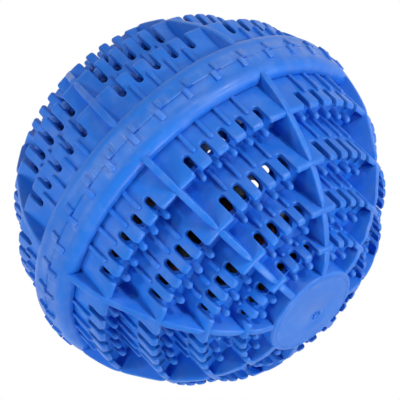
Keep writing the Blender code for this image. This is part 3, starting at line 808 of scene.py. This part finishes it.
class BALL_OT_band(BallOperator, bpy.types.Operator):
    """Band round the seam with its grip bars"""

    bl_idname = "ball.band"
    bl_label = "Band"

    def execute(self, context):
        radius = self.sizes.band_radius
        face = [(radius - BAND_FACE_FALL * height ** 2, height)
                for height in np.linspace(BAND_CHAMFER[1], BAND_FACE_TOP, 5)]
        shoulder = [(SHOULDER_CENTRE[0] + SHOULDER_REACH[0] * math.cos(swing) ** 0.8,
                     SHOULDER_CENTRE[1] + SHOULDER_REACH[1] * math.sin(swing) ** 0.85)
                    for swing in np.radians(np.linspace(5.0, 88.0, 14))]
        crease = arc(CREASE_ARC_CENTRE, CREASE_ARC_RADIUS, 85.0, 178.0, 6)
        in_wall = RINGS[0].outer - self.sizes.wall + 0.1 * MM
        profile = [(RIM_INSIDE, RIM_HEIGHT), (radius - BAND_CHAMFER[0], RIM_HEIGHT), *face, *shoulder,
                   *crease, (in_wall, CREASE_HEIGHT), (in_wall, SHOULDER_UNDERSIDE),
                   (RIM_INSIDE, RIM_BASE)]
        bar = ridge(self.sizes.grip_width, GRIP_PROUD, GRIP_BURIED, RIM_HEIGHT, GRIP_TOP,
                    GRIP_END, squareness=0.25)
        bar[..., 1] -= BAND_FACE_FALL * bar[..., 2] ** 2
        turns = GRIP_PHASE + np.arange(GRIP_COUNT) * 360.0 / GRIP_COUNT
        surface = Surface()
        surface.add_ring(turned(profile, sides=288))
        surface.add_bars(placed_at(bar, turns, np.full(GRIP_COUNT, radius)))
        return self.on_both_halves("band", surface, moulded_polypropylene(scuffed=True))


class BALL_OT_polar_discs(BallOperator, bpy.types.Operator):
    """Flat polar discs, with the round recess and stub of the moulding gate"""

    bl_idname = "ball.polar_discs"
    bl_label = "Polar discs"

    def execute(self, context):
        sides = 128
        hub = 1.0 * MM
        wall = self.sizes.wall
        base = RINGS[-1].floor - WALL_SINK
        edge = arc((DISC_RADIUS - DISC_ROUNDING, DISC_HEIGHT - DISC_ROUNDING), DISC_ROUNDING,
                   90.0, 0.0, 7)
        profile = [(DISC_RADIUS - inset, DISC_HEIGHT - depth) for inset, depth in DISC_GROOVE]
        profile += [*edge, (DISC_RADIUS, base), (DISC_RADIUS - wall, base),
                    (DISC_RADIUS - wall, DISC_HEIGHT - wall), (hub, DISC_HEIGHT - wall)]
        turn = np.radians(np.arange(sides) * 360.0 / sides)
        circle = np.stack([np.cos(turn), np.sin(turn)], -1)
        around = [np.array(GATE_PLACE) + circle * radius for radius, _ in GATE_MARK]
        around += [circle * radius for radius, _ in profile]
        between = around[len(GATE_MARK) - 1] * 0.5 + around[len(GATE_MARK)] * 0.5
        around.insert(len(GATE_MARK), between)
        heights = [DISC_HEIGHT - depth for _, depth in GATE_MARK] + [DISC_HEIGHT]
        heights += [height for _, height in profile]
        points = np.stack([np.concatenate([row, np.full((sides, 1), height)], 1)
                           for row, height in zip(around, heights)])
        surface = Surface()
        surface.add_bar(points)
        return self.on_both_halves("polar_disc", surface, moulded_polypropylene(), crease=30.0)


class BALL_OT_twist_lock(BallOperator, bpy.types.Operator):
    """Spigot with lugs inside the lower half, and ledges with stops inside the upper half"""

    bl_idname = "ball.twist_lock"
    bl_label = "Twist lock"

    def execute(self, context):
        lower, upper = HALVES
        surface = Surface()
        surface.add_ring(turned(SPIGOT))
        surface.add_bars(arc_blocks(LUG, LUG_ARC))
        surface.finish("twist_lock", lower, moulded_polypropylene())
        surface = Surface()
        surface.add_bars(arc_blocks(LEDGE, LEDGE_ARC))
        surface.add_bars(arc_blocks(STOP, STOP_ARC))
        surface.finish("twist_lock", upper, moulded_polypropylene())
        return {"FINISHED"}


def arc_blocks(section, ends):
    """Grids of one block in each sector: a section of (radius, height) carried round an arc."""
    turn = np.linspace(*ends, 8)[:, None]
    return [carried(turn + SECTOR * k, section) for k in range(SECTORS)]


class BALL_OT_beads(BallOperator, bpy.types.Operator):
    """Loose ceramic beads, each a slightly uneven ball"""

    bl_idname = "ball.beads"
    bl_label = "Ceramic beads"

    def execute(self, context):
        sizes = self.sizes
        chooser = np.random.default_rng(BEAD_SEED)
        packed = []
        for node in BEAD_NODES:
            packed.append(np.mean(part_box(node), 0))
            kind, _, number = node.split("_")
            surface = Surface()
            surface.add_bar(uneven_ball(sizes.bead_radius, 20, 11, chooser) + packed[-1])
            obj = self.finish_beads(surface, f"ceramic_bead_{number}", kind)
            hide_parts(node)
        surfaces = {kind: Surface() for kind in BEAD_KINDS}
        for place in heap_places(np.array(packed), sizes):
            surface = surfaces[BEAD_KINDS[chooser.integers(len(BEAD_KINDS))]]
            surface.add_bar(uneven_ball(sizes.bead_radius, 10, 6, chooser) + place)
        for kind, surface in surfaces.items():
            self.finish_beads(surface, f"loose_{kind}_beads", kind)
        return {"FINISHED"}

    def finish_beads(self, surface, name, kind):
        """Make the object of one or more beads, riding on the lower half."""
        obj = new_object(name, np.concatenate(surface.points), surface.faces, fired_ceramic(kind),
                         crease=60.0)
        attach(obj, "lower_half")
        return obj


def uneven_ball(radius, sides, rows, chooser):
    """Grid of a ball whose radius swells and shrinks by a few parts in a hundred round and along it."""
    across = np.radians(np.linspace(-90.0, 90.0, rows + 2))[1:-1, None]
    around = np.radians(np.arange(sides) * 360.0 / sides)[None, :]
    lobes = chooser.uniform(0.0, math.tau, 3)
    reach = radius * (1.0 + 0.015 * np.sin(2 * around + lobes[0]) * np.cos(across)
                      + 0.012 * np.sin(3 * around + lobes[1]) * np.cos(across) ** 2
                      + 0.015 * np.sin(2 * across + lobes[2]))
    return np.stack(np.broadcast_arrays(reach * np.cos(across) * np.cos(around),
                                        reach * np.cos(across) * np.sin(around),
                                        reach * np.sin(across)), -1)


def heap_places(packed, sizes):
    """Places of the heap's other beads, on the close-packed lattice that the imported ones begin.

    Rows are a spacing apart in triangles, and each layer lies in the pockets of the one below. A
    place counts if it is under the heap's slope, clear of the stepped wall and not yet taken, which
    is nearly a spacing from every packed bead."""
    spacing = 2 * sizes.bead_radius + BEAD_GAP
    clear = sizes.bead_radius + BEAD_GAP
    line = np.arange(-HEAP_ROWS, HEAP_ROWS + 1)
    steps = np.meshgrid(line, line, np.arange(HEAP_LAYERS), indexing="ij")
    row, column, layer = (axis.ravel() for axis in steps)
    places = np.stack([spacing * (column + 0.5 * row),
                       spacing * (row * math.sqrt(3.0) / 2 + layer % 2 / math.sqrt(3.0)),
                       packed[:, 2].min() + spacing * math.sqrt(2.0 / 3.0) * layer], -1)
    radius = np.hypot(places[:, 0], places[:, 1])
    depth = SEAM_HEIGHT - places[:, 2]
    fits = np.any([(radius < ring.outer - sizes.wall - clear) & (depth < ring.floor - sizes.floor - clear)
                   for ring in RINGS], 0)
    slope = HEAP_HEIGHT - HEAP_SLOPE * places[:, :2] @ np.array(HEAP_FALL)
    apart = np.linalg.norm(places[:, None] - packed[None], axis=2).min(1)
    return places[fits & (places[:, 2] < slope) & (apart > 0.9 * spacing)]


def see_through_from_below(tree, shader, output):
    """Let camera rays that meet the back of the floor pass, so that the ball is seen from below."""
    rays = add_node(tree, "ShaderNodeLightPath")
    side = add_node(tree, "ShaderNodeNewGeometry")
    both = add_node(tree, "ShaderNodeMath", {"operation": "MULTIPLY"},
                    links={0: (rays, "Is Camera Ray"), 1: (side, "Backfacing")})
    clear = add_node(tree, "ShaderNodeBsdfTransparent")
    mixed = add_node(tree, "ShaderNodeMixShader", links={"Fac": (both, 0)})
    tree.links.new(shader.outputs[0], mixed.inputs[1])
    tree.links.new(clear.outputs[0], mixed.inputs[2])
    tree.links.new(mixed.outputs[0], output.inputs["Surface"])


class BALL_OT_stage(BallOperator, bpy.types.Operator):
    """Plain pale floor, soft lamps, white surroundings and the photograph's camera"""

    bl_idname = "ball.stage"
    bl_label = "Stage"

    def execute(self, context):
        scene = context.scene
        settings = scene.ball_stage
        level_share = math.cos(settings.elevation)
        back = Vector((level_share * math.cos(settings.azimuth),
                       level_share * math.sin(settings.azimuth), math.sin(settings.elevation)))
        level = back.to_track_quat("Z", "Y").to_matrix()
        turned_camera = level @ Matrix.Rotation(settings.roll, 3, "Z")
        middle = Vector((0.0, 0.0, SEAM_HEIGHT))
        camera_data = bpy.data.cameras.new("photo_camera")
        camera_data.lens = settings.lens
        camera_data.sensor_width = SENSOR_WIDTH
        camera = bpy.data.objects.new("photo_camera", camera_data)
        camera.matrix_world = (Matrix.Translation(middle + back * settings.distance)
                               @ turned_camera.to_4x4())
        scene.collection.objects.link(camera)
        scene.camera = camera
        self.make_lamps(scene, middle, turned_camera)
        self.make_floor(scene)
        self.make_world(scene)
        scene.view_settings.view_transform = "Standard"
        return {"FINISHED"}

    def make_lamps(self, scene, middle, turned_camera):
        """Round lamps that face the ball's middle, at places told from the photograph's camera."""
        for name, size, place, glossy in LAMPS:
            lamp = bpy.data.lights.new(f"{name}_lamp", "AREA")
            lamp.energy = getattr(scene.ball_stage, f"{name}_power")
            lamp.shape = "DISK"
            lamp.size = size
            away = turned_camera @ Vector(place)
            obj = bpy.data.objects.new(f"{name}_lamp", lamp)
            obj.matrix_world = (Matrix.Translation(middle + away)
                                @ away.to_track_quat("Z", "Y").to_matrix().to_4x4())
            obj.visible_glossy = glossy
            scene.collection.objects.link(obj)

    def make_floor(self, scene):
        """Flat floor just under the ball. It shows the ball's shadow, and lights nothing."""
        material, tree, shader = new_material("studio_floor")
        shader.inputs["Base Color"].default_value = linear(scene.ball_colours.floor)
        shader.inputs["Roughness"].default_value = 0.9
        shader.inputs["Emission Color"].default_value = linear(scene.ball_colours.floor)
        shader.inputs["Emission Strength"].default_value = 0.6
        see_through_from_below(tree, shader, tree.nodes["Material Output"])
        corners = [(x * FLOOR_REACH, y * FLOOR_REACH, FLOOR_HEIGHT)
                   for x, y in ((-1, -1), (1, -1), (1, 1), (-1, 1))]
        mesh = bpy.data.meshes.new("studio_floor")
        mesh.from_pydata(corners, [], [(0, 1, 2, 3)])
        mesh.materials.append(material)
        floor = bpy.data.objects.new("studio_floor", mesh)
        scene.collection.objects.link(floor)
        floor.visible_diffuse = False
        floor.visible_glossy = False
        floor.visible_transmission = False
        floor.visible_shadow = False

    def make_world(self, scene):
        """White surroundings: full white to the camera and in gloss, dimmer as light."""
        world = bpy.data.worlds.new("studio_surroundings")
        world.use_nodes = True
        scene.world = world
        tree = world.node_tree
        background = tree.nodes["Background"]
        rays = add_node(tree, "ShaderNodeLightPath")
        seen = add_node(tree, "ShaderNodeMath", {"operation": "MAXIMUM"},
                        links={0: (rays, "Is Camera Ray"), 1: (rays, "Is Glossy Ray")})
        seen = add_node(tree, "ShaderNodeMath", {"operation": "MAXIMUM"},
                        links={0: (seen, 0), 1: (rays, "Is Transmission Ray")})
        strength = add_node(tree, "ShaderNodeMapRange",
                            inputs={"To Min": scene.ball_stage.ambient},
                            links={"Value": (seen, 0)})
        background.inputs["Color"].default_value = (1.0, 1.0, 1.0, 1.0)
        tree.links.new(strength.outputs["Result"], background.inputs["Strength"])


class BALL_PT_panel(bpy.types.Panel):
    """Lists the ball's pieces and settings in the 3D view's sidebar"""

    bl_idname = "BALL_PT_panel"
    bl_label = "Laundry ball"
    bl_space_type = "VIEW_3D"
    bl_region_type = "UI"
    bl_category = "Laundry ball"

    def draw(self, context):
        layout = self.layout
        for group in (context.scene.ball_sizes, context.scene.ball_colours,
                      context.scene.ball_stage):
            box = layout.box()
            for name in group.__annotations__:
                box.prop(group, name)
        for operator in OPERATORS:
            layout.operator(operator.bl_idname)


OPERATORS = (BALL_OT_tab_walls, BALL_OT_trench_floors, BALL_OT_posts, BALL_OT_ribs, BALL_OT_fins,
             BALL_OT_band, BALL_OT_polar_discs, BALL_OT_twist_lock, BALL_OT_beads, BALL_OT_stage)
SETTINGS = {"ball_sizes": BallSizes, "ball_colours": BallColours, "ball_stage": StageSettings}


def register():
    """Tell Blender of the settings, the operators and the panel."""
    for kind in (*SETTINGS.values(), *OPERATORS, BALL_PT_panel):
        bpy.utils.register_class(kind)
    for name, kind in SETTINGS.items():
        setattr(bpy.types.Scene, name, bpy.props.PointerProperty(type=kind))


def unregister():
    """Take back what register told."""
    for name in SETTINGS:
        delattr(bpy.types.Scene, name)
    for kind in reversed((*SETTINGS.values(), *OPERATORS, BALL_PT_panel)):
        bpy.utils.unregister_class(kind)


def main():
    """Make every piece and the stage."""
    register()
    for operator in OPERATORS:
        group, name = operator.bl_idname.split(".")
        getattr(getattr(bpy.ops, group), name)()


if __name__ == "__main__":
    main()
